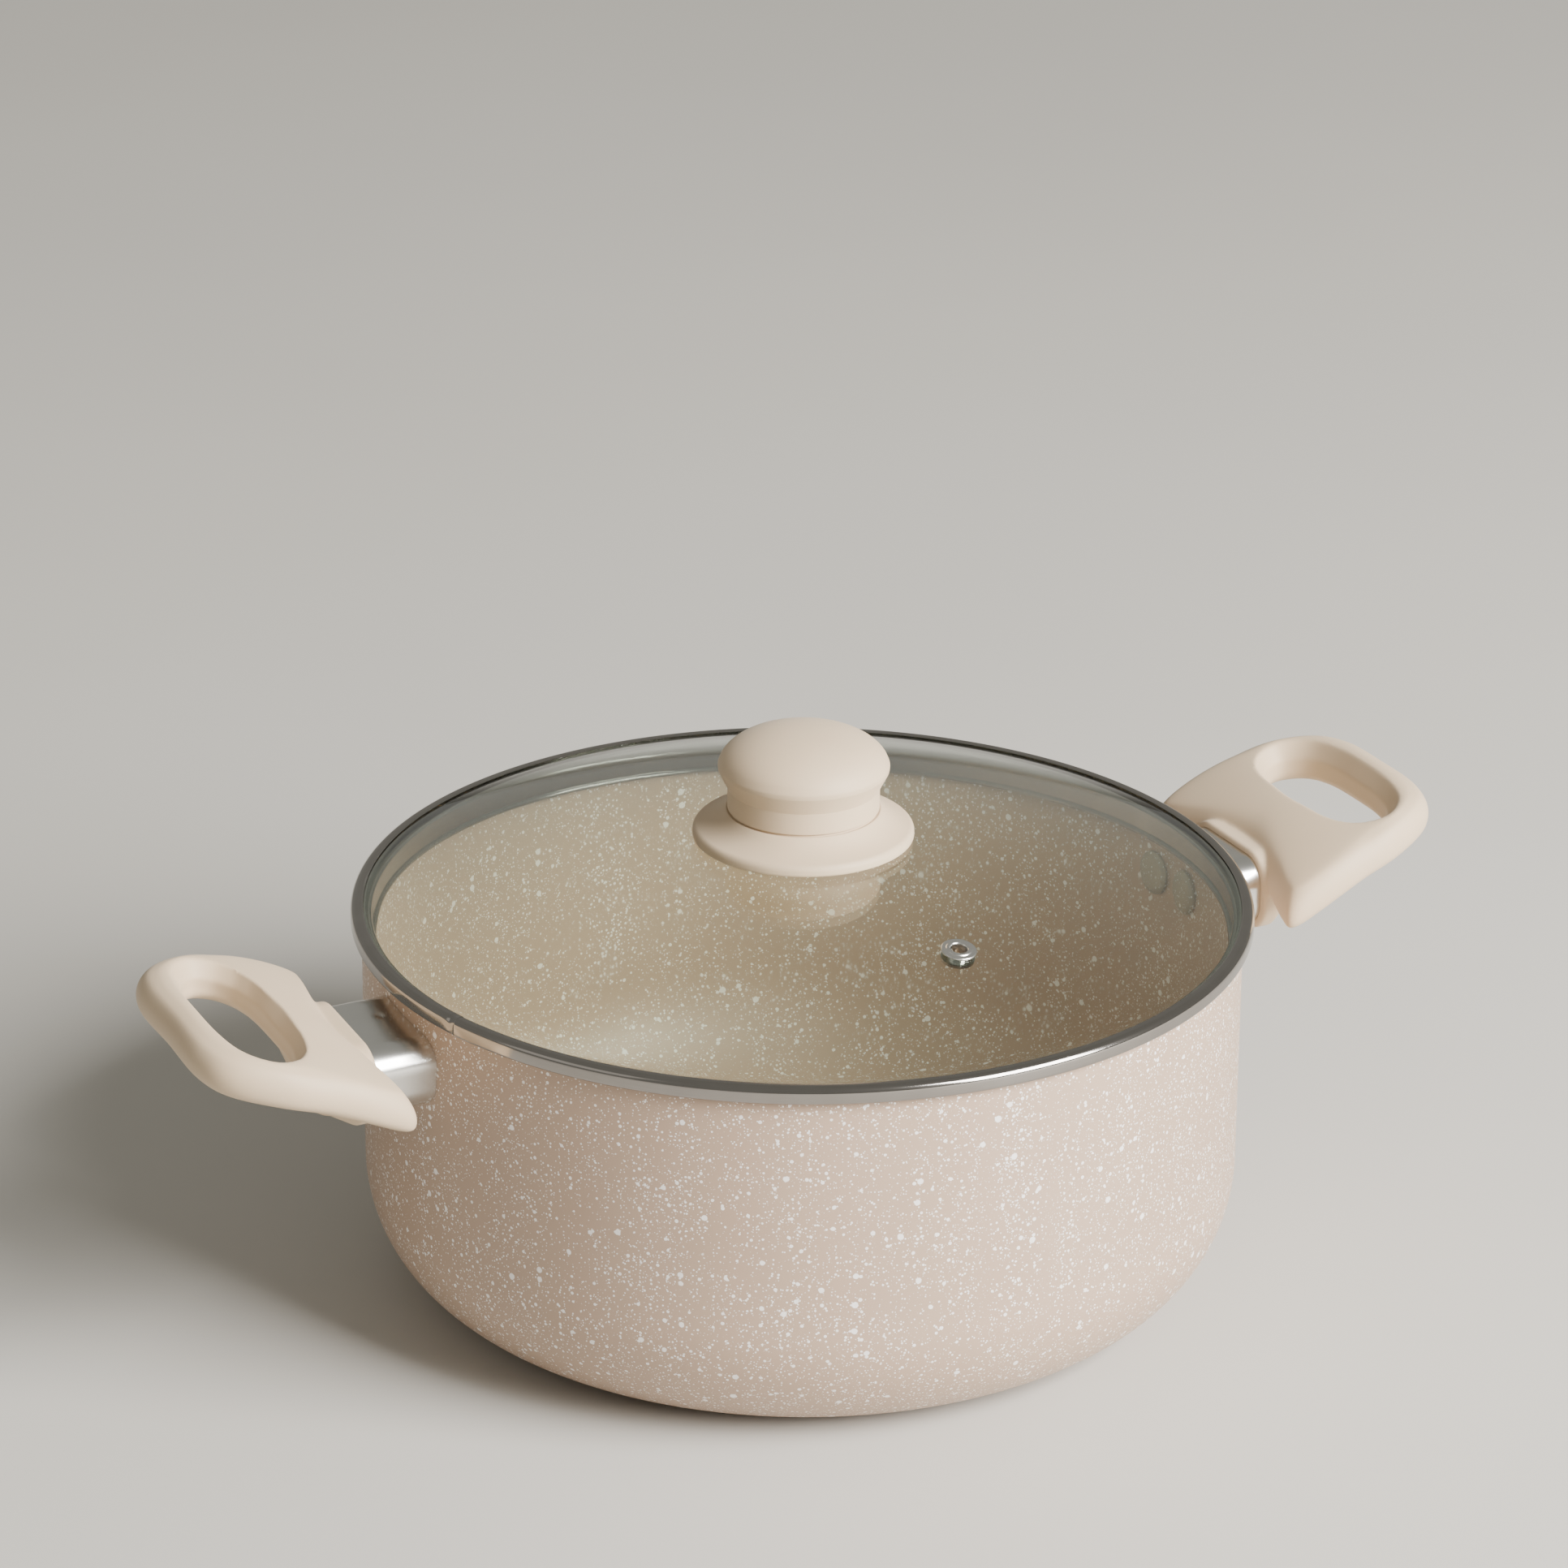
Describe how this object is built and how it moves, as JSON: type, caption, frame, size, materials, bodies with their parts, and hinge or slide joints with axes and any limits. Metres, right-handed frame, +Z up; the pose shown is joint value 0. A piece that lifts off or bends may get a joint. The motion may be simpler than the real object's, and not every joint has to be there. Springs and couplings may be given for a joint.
{
  "type": "two-handled saucepan with glass lid",
  "caption": "Wide coated saucepan with opposite loop handles, a lift-off glass lid in a steel band, a steam vent and a mushroom knob.",
  "frame": {"origin": "centre of the base, on the surface it stands on", "axes": "+X along the line of the two handles, +Z up through the knob"},
  "size_m": [0.3844, 0.25, 0.1626],
  "materials": {
    "speckled_coat": "satin beige coat with fine white speckles",
    "soft_touch": "matte soft-touch moulding",
    "polished_steel": "polished stainless steel",
    "plain_steel": "plain zinc-plated steel",
    "lid_glass": "clear tempered glass, faint green edge",
    "brass": "turned brass",
    "silicone": "translucent white silicone"
  },
  "bodies": {
    "pot": {"pan_body": "speckled_coat", "left_rivets": "speckled_coat", "right_rivets": "speckled_coat", "left_bracket": "plain_steel", "right_bracket": "plain_steel", "left_flame_guard": "polished_steel", "right_flame_guard": "polished_steel", "left_handle": "soft_touch", "right_handle": "soft_touch", "left_handle_screw": "plain_steel", "right_handle_screw": "plain_steel", "left_handle_washer": "plain_steel", "right_handle_washer": "plain_steel"},
    "lid": {"lid_glass": "lid_glass", "lid_band": "polished_steel", "vent_eyelet": "polished_steel", "vent_washer": "polished_steel", "knob_foot": "soft_touch", "knob_cap": "soft_touch", "knob_insert": "brass", "knob_screw": "plain_steel", "knob_washer": "plain_steel", "knob_gasket": "silicone"}
  },
  "joints": [
    {"name": "lid_lift", "type": "slide", "parent": "pot", "child": "lid", "axis": [0, 0, 1], "range_m": [0, 0.12]}
  ]
}
